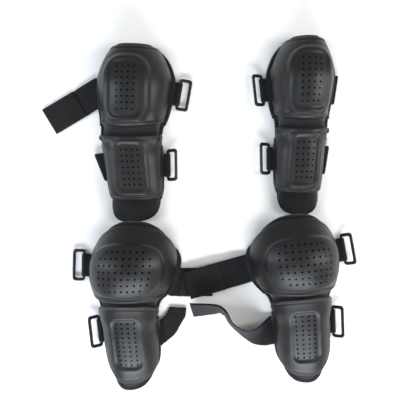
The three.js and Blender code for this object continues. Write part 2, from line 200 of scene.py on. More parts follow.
class Guard:
    """One guard's shape: the arch over the limb, its edge, and where it lies."""

    def __init__(self, name, spec):
        self.name = name
        self.__dict__.update(spec["kind"])
        for key in ("side", "lean", "rings_at", "tilts", "straps_at", "tucked", "panel"):
            setattr(self, key, spec[key])
        half, crown = through(self.half), through(self.crown)
        self.half_at = lambda y: half(y) * spec["wide"]
        self.crown_at = lambda y: crown(y) * spec["high"]
        self.centre_at = through(spec["centre"])
        joint = next(j for j in frame["joints"] if j["name"] == f"{name}_fold")
        turn = math.radians(spec["turn"])
        self.cos, self.sin = math.cos(turn), math.sin(turn)
        px, py, _ = [v / MM for v in joint["pos_m"]]
        self.origin = np.array([px + self.sin * self.pivot, py - self.cos * self.pivot, 0.0])
        self.is_knee = spec["kind"] is KNEE
        self._arc_table()

    def world(self, points):
        p = np.asarray(points, float).reshape(-1, 3)
        x = p[:, 0] * self.cos - p[:, 1] * self.sin
        y = p[:, 0] * self.sin + p[:, 1] * self.cos
        return (np.stack([x, y, p[:, 2]], 1) + self.origin) * MM

    def local(self, points):
        p = np.asarray(points, float).reshape(-1, 3) / MM - self.origin
        x = p[:, 0] * self.cos + p[:, 1] * self.sin
        y = -p[:, 0] * self.sin + p[:, 1] * self.cos
        return np.stack([x, y, p[:, 2]], 1)

    def foot(self, side, y):
        waist = WAIST_LIFT * window(y, self.pivot + 4, 12, 26)
        strap = np.zeros_like(waist)
        for k in self.tucked:
            strap = np.maximum(strap, STRAP_LIFT * window(y, self.straps_at[k], 32, 24))
        return np.where(side * self.side > 0, waist, np.maximum(waist, strap))

    def margin(self, y):
        share = smooth(self.pivot, self.pivot + 40, y)
        return LOWER_MARGIN + (UPPER_MARGIN - LOWER_MARGIN) * share

    def arch(self, u, y, inset, above):
        u, y = np.broadcast_arrays(np.asarray(u, float), np.asarray(y, float))
        angle = u * math.pi / 2
        cosine = np.maximum(np.cos(angle), 0)
        low = self.foot(np.sign(u), y) + above
        rise = np.maximum(self.crown_at(y) - inset - low, 1)
        half = self.half_at(y) - self.margin(y) - inset
        x = self.centre_at(y) + half * np.sin(angle) + self.lean * cosine**2
        return np.stack([x, y, low + rise * cosine**0.85], -1)

    def normal(self, u, y, inset=0.0, above=SHELL_FOOT):
        du, dy = 0.004, 0.4
        u0, u1 = np.clip(u - du, -1, 1), np.clip(u + du, -1, 1)
        across = self.arch(u1, y, inset, above) - self.arch(u0, y, inset, above)
        along = self.arch(u, y + dy, inset, above) - self.arch(u, y - dy, inset, above)
        return unit(np.cross(across, along), 1e-9)

    def _arc_table(self):
        self.us = np.linspace(-1, 1, 201)
        self.ys = np.linspace(self.tip, self.top, 80)
        points = self.arch(*np.meshgrid(self.us, self.ys), 0, SHELL_FOOT)
        steps = np.linalg.norm(np.diff(points, axis=1), axis=2)
        self.arcs = np.concatenate([np.zeros((len(self.ys), 1)), np.cumsum(steps, axis=1)], 1)

    def _look(self, u, y):
        us, ys, nearly = len(self.us) - 1, len(self.ys) - 1, 0.001
        fu = np.clip((u + 1) / 2 * us, 0, us - nearly)
        fy = np.clip((y - self.ys[0]) / (self.ys[-1] - self.ys[0]) * ys, 0, ys - nearly)
        i, j = fy.astype(int), fu.astype(int)
        a, b = fy - i, fu - j
        t = self.arcs
        return ((t[i, j] * (1 - b) + t[i, j + 1] * b) * (1 - a)
                + (t[i + 1, j] * (1 - b) + t[i + 1, j + 1] * b) * a)

    def across(self, u, y, from_u=0.0):
        """Millimetres over the arch from from_u."""
        u, y = np.broadcast_arrays(np.asarray(u, float), np.asarray(y, float))
        return self._look(u, y) - self._look(np.full_like(u, from_u), y)

    def to_side(self, u, y):
        """Millimetres over the arch to its nearer side edge."""
        u, y = np.broadcast_arrays(np.asarray(u, float), np.asarray(y, float))
        here = self._look(u, y)
        whole = self._look(np.ones_like(u), y)
        return np.minimum(here, whole - here)

    # the pieces' ends, as y for each u
    def lip_at(self, u):
        return self.lip + self.lip_round * u * u

    def top_at(self, u):
        return self.top - self.top_drop * np.abs(u) ** self.top_square

    def lower_top_at(self, u):
        return self.lower_top + self.lower_top_round * u * u

    def lower_end_at(self, u):
        return self.lower_end + self.lower_end_round * np.abs(u) ** self.lower_end_square

    def tip_at(self, u):
        return self.tip + self.tip_drop * (1 - np.sqrt(1 - 0.98 * u * u))

    def upper_liner_start(self, u):
        return (self.split + 4) * (1 - u * u) + (self.pivot + 14) * u * u

    def lower_liner_top(self, u):
        return (self.split - 4) * (1 - u * u) + (self.pivot - 4) * u * u

    def edge(self, side, y):
        """The liner's edge at y: a point just outside it, the way out and the way along."""
        def x(at):
            return float(self.centre_at(at) + side * self.half_at(at))
        along = np.array([x(y + 1) - x(y - 1), 2, 0])
        along /= np.linalg.norm(along)
        out = np.array([side * along[1], -side * along[0], 0])
        return np.array([x(y), y, 0]) + out * EDGE_CLEAR, out, along


# ------------------------------------------------------------------ meshes
def make(name, points, faces, material, uvs=None, sharp=None):
    """A closed mesh from world points in metres, none of them under the surface it lies on."""
    points = np.array(points)
    points[:, 2] = np.maximum(points[:, 2], 0)
    mesh = bpy.data.meshes.new(name)
    mesh.from_pydata([tuple(p) for p in points], [], faces)
    bm = bmesh.new()
    bm.from_mesh(mesh)
    if uvs is not None:
        layer = bm.loops.layers.uv.new("weave")
        for face in bm.faces:
            for loop in face.loops:
                loop[layer].uv = uvs[loop.vert.index]
    bmesh.ops.recalc_face_normals(bm, faces=bm.faces)
    bm.to_mesh(mesh)
    bm.free()
    mesh.polygons.foreach_set("use_smooth", [True] * len(mesh.polygons))
    if sharp:
        mesh.set_sharp_from_angle(angle=math.radians(sharp))
    mesh.materials.append(material)
    obj = bpy.data.objects.new(name, mesh)
    bpy.context.scene.collection.objects.link(obj)
    return obj


def tube_faces(rows, around, first=0, closed=False):
    """Quads between rings of points, and from the last ring to the first one if it is closed."""
    return [(first + r * around + k, first + r * around + (k + 1) % around,
             first + (r + 1) % rows * around + (k + 1) % around,
             first + (r + 1) % rows * around + k)
            for r in range(rows - 1 + closed) for k in range(around)]


def joined(first, second):
    """Quads between two closed loops of point numbers."""
    count = len(first)
    return [(first[k], second[k], second[(k + 1) % count], first[(k + 1) % count])
            for k in range(count)]


def wall_faces(n_rows, n_columns, removed=None):
    """Quads over two grids of points, the second grid's turned over."""
    faces, count = [], n_rows * n_columns
    for i in range(n_rows - 1):
        for j in range(n_columns - 1):
            if removed is None or not removed[i, j]:
                a = i * n_columns + j
                b = a + n_columns
                faces.append((a, a + 1, b + 1, b))
                faces.append((count + a, count + b, count + b + 1, count + a + 1))
    return faces


def rounded_border(outer, inner, degrees, stand):
    """Points and faces that close the border between two grids. It stands out by so many
    thicknesses, and its points come after the grids' own."""
    n_rows, n_columns = outer.shape[:2]
    i, j = np.array([(0, j) for j in range(n_columns - 1)]
                    + [(i, n_columns - 1) for i in range(n_rows - 1)]
                    + [(n_rows - 1, j) for j in range(n_columns - 1, 0, -1)]
                    + [(i, 0) for i in range(n_rows - 1, 0, -1)]).T
    top, bottom = outer[i, j], inner[i, j]
    inward = outer[np.clip(i, 1, n_rows - 2), np.clip(j, 1, n_columns - 2)]
    across = top - bottom
    thick = np.linalg.norm(across, axis=1, keepdims=True)
    away = square_to(top - inward, across / thick)
    points = np.array([(top + bottom) / 2 + across / 2 * math.cos(a)
                       + away * thick * stand * math.sin(a) for a in np.radians(degrees)])
    count = n_rows * n_columns
    first = i * n_columns + j
    loops = [first, *(2 * count + np.arange(points[..., 0].size).reshape(len(points), -1)),
             count + first]
    loops = [loop.tolist() for loop in loops]
    faces = [quad for a, b in zip(loops, loops[1:]) for quad in joined(a, b)]
    return points.reshape(-1, 3), faces


def lines(low, high, step, holes=(), radius=0.0, fine=()):
    """Grid lines from low to high, with five across every hole and finer steps near some lines."""
    marks = [low, high]
    for c in holes:
        marks += [c - radius, c - radius / 2, c, c + radius / 2, c + radius]
    marks += [f for f in fine if low < f < high]
    marks = sorted(marks)
    out = [marks[0]]
    for a, b in zip(marks, marks[1:]):
        if b - a < 1e-6:
            continue
        parts = max(1, round((b - a) / step))
        out += [a + (b - a) * k / parts for k in range(1, parts + 1)]
    return np.array(out)


ROUND_HOLE = ([(-2, k) for k in (-2, -1, 0, 1)] + [(k, 2) for k in (-2, -1, 0, 1)]
              + [(2, k) for k in (2, 1, 0, -1)] + [(k, -2) for k in (2, 1, 0, -1)])
RIM_STEPS = (1, 2, 3, 4, 5, 6.2, 7.5)  # grid lines this far from a shell's ends
SIDE_STEPS = (0.006, 0.014, 0.024, 0.036, 0.05, 0.065, 0.085)  # and in u from its sides


def shell(guard, name, start, end, form, detail, holes):
    """A moulded shell: a grid over the arch, shaped by form on both faces and by detail on the
    outer face, with real holes through it and a rounded rim. holes is (u of the panel's middle,
    radius, columns in mm, rows in y, which to keep)."""
    y0, y1 = float(start(0.0)), float(end(0.0))
    centre_u, radius, columns, rows, keep = holes
    per_u = float(guard.across(centre_u + 0.05, (min(rows) + max(rows)) / 2, centre_u)) / 0.05
    hole_us = [centre_u + c / per_u for c in columns]
    side_u = [s * (1 - w) for s in (-1, 1) for w in SIDE_STEPS]
    us = lines(-1.0, 1.0, 2.1 / per_u, hole_us, radius / per_u, side_u)
    rim = [y0 + w for w in RIM_STEPS] + [y1 - w for w in RIM_STEPS]
    ys = lines(y0, y1, 1.9, rows, radius, rim)
    u_grid, v_grid = np.meshgrid(us, (ys - y0) / (y1 - y0))
    y_grid = (ys[:, None] + (start(u_grid) - y0) * (1 - v_grid) ** 2
              + (end(u_grid) - y1) * v_grid**2)
    n_rows, n_columns = u_grid.shape
    removed = np.zeros((n_rows - 1, n_columns - 1), bool)
    rings = []
    for hu in hole_us:
        for hy in rows:
            if not keep((hu - centre_u) * per_u, hy):
                continue
            i, j = int(np.argmin(np.abs(ys - hy))), int(np.argmin(np.abs(us - hu)))
            cu, cy = u_grid[i, j], y_grid[i, j]
            local_u = float(guard.across(cu + 0.01, cy, cu - 0.01)) / 0.02
            slope = guard.arch(cu, cy + 1, 0, SHELL_FOOT) - guard.arch(cu, cy - 1, 0, SHELL_FOOT)
            local_y = float(np.linalg.norm(slope)) / 2
            removed[i - 2:i + 2, j - 2:j + 2] = True
            ring = []
            for k, (di, dj) in enumerate(ROUND_HOLE):
                angle = -3 * math.pi / 4 + k * math.pi / 8
                u_grid[i + di, j + dj] = cu + radius * math.cos(angle) / local_u
                y_grid[i + di, j + dj] = cy + radius * math.sin(angle) / local_y
                ring.append((i + di, j + dj))
            rings.append(ring)
    normal = guard.normal(u_grid, y_grid)
    place = Place(guard, u_grid, y_grid, start, end)
    shared = form(place)[..., None]
    outer = (guard.arch(u_grid, y_grid, 0, SHELL_FOOT)
             + normal * (shared + detail(place)[..., None]))
    inner = guard.arch(u_grid, y_grid, SHELL_THICK, SHELL_FOOT) + normal * shared
    border, border_faces = rounded_border(outer, inner, (35, 70, 110, 145), 0.45)
    points = [outer.reshape(-1, 3), inner.reshape(-1, 3), border]
    faces = wall_faces(n_rows, n_columns, removed) + border_faces
    count = n_rows * n_columns
    next_index = 2 * count + len(border)
    for ring in rings:  # the holes' walls, with a small chamfer
        i, j = np.array(ring).T
        centre = outer[i, j].mean(0)
        axis = inner[i, j].mean(0) - centre
        points.append(centre + (outer[i, j] - centre) * 0.86 + axis * 0.16)
        chamfer = np.arange(next_index, next_index + len(ring))
        next_index += len(ring)
        face = i * n_columns + j
        faces += joined(face, chamfer) + joined(chamfer, count + face)
    points = np.concatenate(points)
    used = np.unique([k for face in faces for k in face])
    index = np.full(len(points), -1)
    index[used] = np.arange(len(used))
    faces = [tuple(int(index[k]) for k in face) for face in faces]
    return make(name, guard.world(points[used]), faces, SHELL, sharp=50)


class Place:
    """Where each grid point is on a shell, in millimetres: across the arch, along it, and to the
    shell's edges."""

    def __init__(self, guard, u, y, start, end):
        self.guard, self.u, self.y = guard, u, y
        self.side = guard.to_side(u, y)
        self.low = (y - start(u)) * self.slant(start, u)
        self.high = (end(u) - y) * self.slant(end, u)
        self.rim = -2 * np.log(np.exp(-self.side / 2) + np.exp(-self.low / 2))

    def slant(self, ends, u):
        """How much nearer a slanting end is than it is along Y."""
        x = self.guard.arch(np.clip([u - 0.02, u + 0.02], -1, 1), ends(u), 0, SHELL_FOOT)[..., 0]
        rise = ends(np.clip(u + 0.02, -1, 1)) - ends(np.clip(u - 0.02, -1, 1))
        return np.cos(np.arctan(rise / np.maximum(x[1] - x[0], 0.2)))

    def across(self, from_u):
        return self.guard.across(self.u, self.y, from_u)


# ------------------------------------------------------------------ reliefs of the four shells
# A form shapes both faces of a shell and a detail only its outer face, in millimetres outward.
ELBOW_CUP_MIDDLE, FOREARM_MIDDLE = 64, -64  # y of the panels' middles
KNEE_CUP_MIDDLE, SHIN_MIDDLE = 66, -61


def elbow_cup_form(p):
    s = p.across(p.guard.panel[0])
    t = p.y - ELBOW_CUP_MIDDLE
    collar = 1 - smooth(-2, 8, box_distance(s, t, 38, 54, 30))
    recess = 1 - smooth(-3, 2.5, box_distance(s, t - 1, 28, 46, 16))
    return 3.0 * collar - 3.0 * recess


def elbow_lower_form(p):
    s = p.across(p.guard.panel[1])
    t = p.y - FOREARM_MIDDLE
    collar = 1 - smooth(-1, 7, box_distance(s, t, 27, 45, 15))
    recess = 1 - smooth(-2, 2.2, box_distance(s, t, 19.5, 40, 7))
    return 2.2 * collar - 2.6 * recess


def knee_cup_form(p):
    s = p.across(p.guard.panel[0])
    t = p.y - KNEE_CUP_MIDDLE
    d = (np.abs(s / 70) ** 2.6 + np.abs(t / 44) ** 2.6) ** (1 / 2.6)
    dome = 1 - smooth(0.92, 1.08, d)
    return 3.4 * dome + 1.6 * np.maximum(1 - d * d, 0) - 1.6 * (1 - smooth(8, 13, p.side))


def knee_lower_form(p):
    s = p.across(p.guard.panel[1])
    t = p.y - SHIN_MIDDLE
    recess = 1 - smooth(-2.4, 2.4, box_distance(s, t, 23, 43.5, 12))
    flange = 1 - smooth(6.5, 9.5, p.rim)
    return 1.6 - 2.8 * recess - 2.2 * flange


def elbow_detail(p):
    bead = 0.9 * bump(p.low, 1.6, 5) + 0.9 * bump(p.high, 1.6, 5)
    groove = 0.35 * bump(p.low, 5.2, 3) + 0.35 * bump(p.high, 5.2, 3)
    return bead - groove + 0.5 * bump(p.side, 1.5, 5)


def knee_cup_detail(p):
    bead = 1.3 * bump(p.low, 1.8, 5.5) + 0.7 * bump(p.low, 9.2, 4) + 0.7 * bump(p.high, 1.6, 5)
    groove = 0.9 * bump(p.low, 5.8, 4)
    return bead - groove + 0.6 * bump(p.side, 1.5, 5)


def knee_lower_detail(p):
    bead = 0.9 * bump(p.high, 1.7, 5) + 0.6 * bump(p.low, 1.7, 5)
    groove = 0.7 * bump(p.high, 5.4, 3.5)
    return bead - groove + 0.8 * bump(p.rim, 10, 4) + 0.5 * bump(p.side, 1.5, 5)


def spaced(count, pitch, middle=0.0):
    """So many places, pitch apart, about a middle."""
    return [middle + (k - (count - 1) / 2) * pitch for k in range(count)]


# ------------------------------------------------------------------ liners
def skin(outer, inner, rounding):
    """Points and faces of a closed body between two grids of points, with rounded borders.
    rounding is how far the border stands out, as a share of half the thickness there."""
    border, faces = rounded_border(outer, inner, (30, 60, 90, 120, 150), rounding / 2)
    return (np.concatenate([outer.reshape(-1, 3), inner.reshape(-1, 3), border]),
            wall_faces(*outer.shape[:2]) + faces)


WING_SHARES = (0.999, 0.72, 0.4)  # a wing's points, from the arch's side (0) to the outline (1)
LINER_LINES = 45  # grid lines across a liner's arch


class Liner:
    """The padded liner's two faces, as points for (u, y), with a flat wing along each side."""

    def __init__(self, guard, thick, outer_inset=SHELL_THICK + SHELL_AIR, end=""):
        self.guard, self.thick, self.outer_inset = guard, thick, outer_inset
        self.tail, self.head = end == "tail", end == "head"

    def row(self, us, ys, inset, above, wing_above):
        """One row of a face: a wing, the arch between its sides, the other wing."""
        g = self.guard
        if self.tail:
            inset = inset - 4.2 * (1 - smooth(-9, 0, ys - g.lower_end_at(us) + 3))
        arch = g.arch(us, ys, inset, above)
        left, right = [], []
        for side, at, store in ((-1, 0, left), (1, -1, right)):
            y = ys[at]
            half = g.half_at(y) - EDGE_ROUND
            if self.tail:
                half -= 3.5 * (1 - smooth(0, 22, y - g.tip_at(1.0)))
            elif self.head:
                half -= 4.0 * (1 - smooth(0, 26, g.top_at(1.0) - y))
            outline = np.array([g.centre_at(y) + side * half, y, g.foot(side, y) + wing_above])
            for share in WING_SHARES:
                store.append(outline * share + arch[at] * (1 - share))
        return np.concatenate([np.array(left), arch, np.array(right[::-1])])

    def grids(self, rows, start, end):
        us = np.linspace(-1, 1, LINER_LINES)
        outer, inner = [], []
        for r in range(rows + 1):
            t = r / rows
            ys = start(us) * (1 - t) + end(us) * t
            outer.append(self.row(us, ys, self.outer_inset, WING_THICK, WING_THICK - 1))
            inner.append(self.row(us, ys, self.outer_inset + self.thick, 0.0, 0.0))
        return np.array(outer), np.array(inner)


def evaluated(obj):
    graph = bpy.context.evaluated_depsgraph_get()
    return bpy.data.meshes.new_from_object(obj.evaluated_get(graph))


def coordinates(mesh):
    co = np.empty(len(mesh.vertices) * 3)
    mesh.vertices.foreach_get("co", co)
    return co.reshape(-1, 3)


CLOTH_SETTINGS = dict(
    quality=5, mass=0.3, tension_stiffness=12, compression_stiffness=12, shear_stiffness=5,
    bending_stiffness=0.5, use_pressure=True, uniform_pressure_force=4.0,
)


def puff(obj, limit, voxel=0.004, frames=14):
    """Fills a padded piece: voxel remesh, cloth under pressure, each point's way limited by
    limit(points in metres), then one subdivision."""
    remesh = obj.modifiers.new("remesh", "REMESH")
    remesh.mode, remesh.voxel_size = "VOXEL", voxel
    mesh = evaluated(obj)
    obj.modifiers.clear()
    obj.data = mesh
    rest = coordinates(mesh)
    cloth = obj.modifiers.new("cloth", "CLOTH")
    settings = cloth.settings
    for name, value in CLOTH_SETTINGS.items():
        setattr(settings, name, value)
    settings.effector_weights.gravity = 0
    scene = bpy.context.scene
    for f in range(1, frames + 1):
        scene.frame_set(f)
    way = coordinates(evaluated(obj)) - rest
    obj.modifiers.clear()
    scene.frame_set(1)
    length = np.linalg.norm(way, axis=1, keepdims=True)
    most = limit(rest)[:, None]
    way *= np.minimum(1, most / np.maximum(length, 1e-9))
    swollen = rest + way
    swollen[:, 2] = np.maximum(swollen[:, 2], 0)
    mesh.vertices.foreach_set("co", swollen.ravel())
    subdivide(obj)


def subdivide(obj):
    modifier = obj.modifiers.new("subdivision", "SUBSURF")
    modifier.levels = modifier.render_levels = 1
    mesh = evaluated(obj)
    obj.modifiers.clear()
    obj.data = mesh
    mesh.polygons.foreach_set("use_smooth", [True] * len(mesh.polygons))


# ------------------------------------------------------------------ ribbons: straps, tabs, tapes
def resample(points, step):
    """Points on a smooth curve through the given ones, about step apart, and where each lies."""
    p = np.asarray(points, float)
    flat = p.reshape(len(p), -1)
    knots = distances(p)
    count = max(int(round(knots[-1] / step)), 8)
    at = np.linspace(0, knots[-1], count + 1)
    out = np.stack([through(list(zip(knots, column)))(at) for column in flat.T], 1)
    return out.reshape(-1, *p.shape[1:])


def cross_section(columns, round_share, bead):
    """Across a strip: pairs of (share across, share of the thickness), round once."""
    top = []
    for a in np.linspace(-1, 1, columns):
        fall = np.clip((abs(a) - 1 + round_share) / round_share, 0, 1)
        thick = math.sqrt(max(1 - fall * fall, 0.0)) * 0.5
        thick *= 1 + bead * float(bump(np.array(abs(a)), 1 - 1.6 * round_share, 1.6 * round_share))
        top.append((a, thick))
    return top + [(a, -t) for a, t in reversed(top[1:-1])]


UV_SCALE = 10.0  # the weave's UVs are in tenths of a metre


def ribbon(name, g, edges, thick, material, columns=15, round_share=0.05, bead=0.25, lift=0.0):
    """A flat strip of webbing between two rows of edge points, shape (n, 2, 3), in guard mm."""
    left, right = edges[:, 0], edges[:, 1]
    middle = (left + right) / 2
    along = np.gradient(middle, axis=0)
    normal = unit(np.cross(along, right - left))
    last = len(middle) - 1
    steps = distances(middle)
    width = float(np.mean(np.linalg.norm(right - left, axis=1)))
    section = cross_section(columns, round_share, bead)
    ends = [(0.35, 0.42 * thick), (0.8, 0.25 * thick)]  # share of the thickness, way past the end
    stations = ([(0, share, -off) for share, off in ends]
                + [(k, 1.0, 0.0) for k in range(last + 1)]
                + [(last, share, off) for share, off in reversed(ends)])
    points, uvs = [], []
    for k, share, off in stations:
        direction = unit(along[0 if off < 0 else -1])
        for a, t in section:
            base = middle[k] + (right[k] - left[k]) / 2 * a + direction * off
            points.append(base + normal[k] * (t * thick * share + lift))
            uvs.append(((steps[k] + off) * MM * UV_SCALE, a * width / 2 * MM * UV_SCALE))
    around = len(section)
    faces = tube_faces(len(stations), around)
    faces.append(tuple(range(around))[::-1])
    faces.append(tuple(range(len(points) - around, len(points))))
    return make(name, g.world(points), faces, material, uvs)


def stitches(name, g, path, normals, pitch=4.6, length=3.1, radius=0.42):
    """A row of thread stitches along a path, as small rounded bodies."""
    path, normals = np.asarray(path, float), np.asarray(normals, float)
    steps = distances(path)
    points, faces = [], []
    around = 6
    profile = ((0.0, 0.35), (0.18, 0.9), (0.5, 1.0), (0.82, 0.9), (1.0, 0.35))
    for c in np.arange(pitch / 2, steps[-1] - pitch / 3, pitch):
        n = unit(picked(normals, steps, c))
        a, b = picked(path, steps, np.array([c - length / 2, c + length / 2]))
        side = np.cross(unit(b - a), n)
        base = len(points)
        for share, size in profile:
            sink = -radius * 0.35 - radius * 0.9 * abs(2 * share - 1) ** 3
            centre = a + (b - a) * share + n * sink
            for k in range(around):
                angle = 2 * math.pi * k / around
                way = side * math.cos(angle) + n * math.sin(angle)
                points.append(centre + way * radius * size)
        faces += tube_faces(len(profile), around, base)
        faces.append(tuple(range(base, base + around))[::-1])
        faces.append(tuple(range(len(points) - around, len(points))))
    return make(name, g.world(points), faces, THREAD)


# ------------------------------------------------------------------ materials
class Nodes:
    """A small helper that builds a material's nodes."""

    def __init__(self, name):
        self.material = bpy.data.materials.new(name)
        self.material.use_nodes = True
        self.tree = self.material.node_tree
        self.bsdf = self.tree.nodes["Principled BSDF"]

    def add(self, kind, inputs=(), **settings):
        node = self.tree.nodes.new(kind)
        for key, value in settings.items():
            setattr(node, key, value)
        for key, value in dict(inputs).items():
            if isinstance(value, bpy.types.NodeSocket):
                self.tree.links.new(value, node.inputs[key])
            else:
                node.inputs[key].default_value = value
        return node

    def position(self):
        return self.add("ShaderNodeTexCoord").outputs["Object"]

    def noise(self, vector, scale, detail=4.0, roughness=0.55):
        return self.add("ShaderNodeTexNoise",
                        {"Vector": vector, "Scale": scale, "Detail": detail,
                         "Roughness": roughness}).outputs["Fac"]

    def math(self, operation, a, b=None):
        inputs = {k: value for k, value in enumerate((a, b)) if value is not None}
        return self.add("ShaderNodeMath", inputs, operation=operation).outputs[0]

    def sum(self, a, share_a, b, share_b):
        first, second = self.math("MULTIPLY", a, share_a), self.math("MULTIPLY", b, share_b)
        return self.math("ADD", first, second)

    def spread(self, value, low, high, **limits):
        """value from a noise, spread between low and high."""
        limits = {key.replace("_", " "): limit for key, limit in limits.items()}
        return self.add("ShaderNodeMapRange", {"Value": value, **limits, "To Min": low,
                                               "To Max": high}).outputs[0]

    def ramp(self, fac, stops):
        node = self.add("ShaderNodeValToRGB", {"Fac": fac})
        ramp = node.color_ramp
        while len(ramp.elements) < len(stops):
            ramp.elements.new(0.5)
        for element, (at, colour) in zip(ramp.elements, stops):
            element.position = at
            element.color = (*colour, 1)
        return node.outputs["Color"]

    def bump(self, height, distance, strength=1.0, normal=None):
        inputs = {"Height": height, "Distance": distance, "Strength": strength}
        if normal is not None:
            inputs["Normal"] = normal
        return self.add("ShaderNodeBump", inputs).outputs["Normal"]

    def finish(self, colour=None, roughness=None, normal=None, **plain):
        linked = {"Base Color": colour, "Roughness": roughness, "Normal": normal}
        for key, socket in linked.items():
            if socket is not None:
                self.tree.links.new(socket, self.bsdf.inputs[key])
        for key, value in plain.items():
            self.bsdf.inputs[key.replace("_", " ")].default_value = value
        return self.material


def plastic(name, dark, light, rough_low, rough_high, grain=0.00006):
    """Semi-matte moulded plastic: fine leather-like grain, faint flow marks, rubs and dust."""
    n = Nodes(name)
    where = n.position()
    broad = n.noise(where, 22, 3)
    fine = n.noise(where, 900, 3, 0.6)
    cells = n.add("ShaderNodeTexVoronoi", {"Vector": where, "Scale": 1500.0}).outputs["Distance"]
    speck = n.noise(where, 260, 6, 0.7)
    dust = n.math("MULTIPLY", n.math("SUBTRACT", speck, 0.56), 3.2)
    dust = n.add("ShaderNodeClamp", {"Value": dust}).outputs[0]
    colour = n.ramp(n.sum(broad, 0.75, dust, 0.25), [(0.2, dark), (0.75, light)])
    rough = n.spread(n.noise(where, 48, 5, 0.6), rough_low, rough_high, From_Min=0.3, From_Max=0.7)
    stretched = n.add("ShaderNodeMapping", {"Vector": where, "Scale": (60.0, 1400.0, 500.0),
                                            "Rotation": (0.0, 0.0, 0.5)}).outputs[0]
    rubs = n.math("GREATER_THAN", n.noise(stretched, 1.0, 2, 0.5), 0.69)
    rough = n.math("ADD", rough, n.math("MULTIPLY", rubs, 0.07))
    normal = n.bump(n.sum(cells, 0.7, fine, 0.5), grain, 0.6)
    normal = n.bump(rubs, 0.00002, -0.5, normal)
    return n.finish(colour, rough, normal, Specular_IOR_Level=0.32)


def knit(name, dark, light, scale=1.0, sheen=0.35):
    """Knitted cloth over foam: rows of small loops, lint and soft shade changes."""
    n = Nodes(name)
    where = n.position()
    wobble = n.add("ShaderNodeTexNoise", {"Vector": where, "Scale": 60.0, "Detail": 2.0})
    offset = n.add("ShaderNodeVectorMath", {0: wobble.outputs["Color"], "Scale": 0.0016},
                   operation="SCALE").outputs[0]
    moved = n.add("ShaderNodeVectorMath", {0: where, 1: offset}, operation="ADD").outputs[0]
    split = n.add("ShaderNodeSeparateXYZ", {"Vector": moved})
    pitch = 2 * math.pi / (0.0017 * scale)
    x, y, z = split.outputs
    columns = n.math("ADD", x, z)
    rows = n.math("SUBTRACT", y, n.math("MULTIPLY", z, 0.6))
    wave_x, wave_y = (n.math("SINE", n.math("MULTIPLY", way, pitch)) for way in (columns, rows))
    loops = n.math("MULTIPLY", wave_x, wave_y)
    height = n.sum(loops, 0.5, n.noise(where, 700, 5, 0.7), 0.8)
    shade = n.sum(n.noise(where, 30, 4), 0.7, n.math("ADD", loops, 1.0), 0.15)
    colour = n.ramp(shade, [(0.3, dark), (0.75, light)])
    normal = n.bump(height, 0.00035, 0.7)
    return n.finish(colour, None, normal, Roughness=0.93, Specular_IOR_Level=0.22,
                    Sheen_Weight=sheen, Sheen_Roughness=0.5, Sheen_Tint=(0.75, 0.77, 0.8, 1.0))


def woven(name, dark, light, rib=0.0014, pick=0.0011, sheen=0.25, hooks=False):
    """Webbing: ribs along it and picks across it, from the strip's own length and width."""
    n = Nodes(name)
    uv = n.add("ShaderNodeUVMap", uv_map="weave").outputs["UV"]
    split = n.add("ShaderNodeSeparateXYZ", {"Vector": uv})
    along, across = (n.math("MULTIPLY", way, 1 / UV_SCALE) for way in split.outputs[:2])
    ribs = n.math("SINE", n.math("MULTIPLY", across, 2 * math.pi / rib))
    row = n.math("FLOOR", n.math("DIVIDE", across, rib))
    odd = n.math("MULTIPLY", n.math("MODULO", row, 2.0), math.pi)
    picks = n.math("SINE", n.math("ADD", n.math("MULTIPLY", along, 2 * math.pi / pick), odd))
    weave = n.sum(n.math("ABSOLUTE", ribs), 0.6, picks, 0.4)
    where = n.position()
    lint_scale, weave_share, lint_share, depth, rough = (
        (1200, 0.25, 1.3, 0.0005, 0.8) if hooks else (600, 0.6, 0.5, 0.0003, 0.9))
    height = n.sum(weave, weave_share, n.noise(where, lint_scale, 5, 0.75), lint_share)
    shade = n.sum(n.noise(where, 35, 4), 0.6, weave, 0.2)
    colour = n.ramp(shade, [(0.2, dark), (0.7, light)])
    normal = n.bump(height, depth, 0.8)
    return n.finish(colour, None, normal, Roughness=rough,
                    Specular_IOR_Level=0.25, Sheen_Weight=sheen, Sheen_Roughness=0.45,
                    Sheen_Tint=(0.8, 0.8, 0.85, 1.0))


def satin_metal(name, dark, light):
    n = Nodes(name)
    where = n.position()
    colour = n.ramp(n.noise(where, 500, 4), [(0.3, dark), (0.7, light)])
    rough = n.spread(n.noise(where, 1500, 4), 0.28, 0.5)
    normal = n.bump(n.noise(where, 2500, 3), 0.00003, 0.5)
    return n.finish(colour, rough, normal, Metallic=0.75)


SHELL = plastic("moulded_shell", (0.0085, 0.0088, 0.0094), (0.016, 0.0164, 0.0172), 0.34, 0.46)
RING = plastic("moulded_ring", (0.012, 0.0125, 0.0135), (0.024, 0.0245, 0.026), 0.24, 0.36, 0.00003)
CLOTH = knit("liner_cloth", (0.0052, 0.0054, 0.006), (0.0115, 0.0118, 0.0128))
BINDING = woven("binding_tape", (0.006, 0.0062, 0.0068), (0.013, 0.0133, 0.0145), 0.0009, 0.0008)
WEBBING = woven("strap_webbing", (0.0052, 0.0054, 0.0062), (0.0115, 0.0118, 0.013), sheen=0.15)
HOOK = woven("hook_tape", (0.0045, 0.0047, 0.0052), (0.011, 0.0113, 0.0124), sheen=0.15, hooks=True)
THREAD = knit("thread", (0.012, 0.0122, 0.013), (0.026, 0.0265, 0.028), 0.3, 0.2)
RIVET = satin_metal("rivet_metal", (0.03, 0.031, 0.033), (0.075, 0.076, 0.08))


# ------------------------------------------------------------------ the pieces of one guard
def settle(obj, body, slot, *nodes):
    """Hangs a finished piece under its body and hides the nodes that it stands for. slot is not
    used.
    """
    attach(obj, body)
    if nodes:
        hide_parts(*nodes)


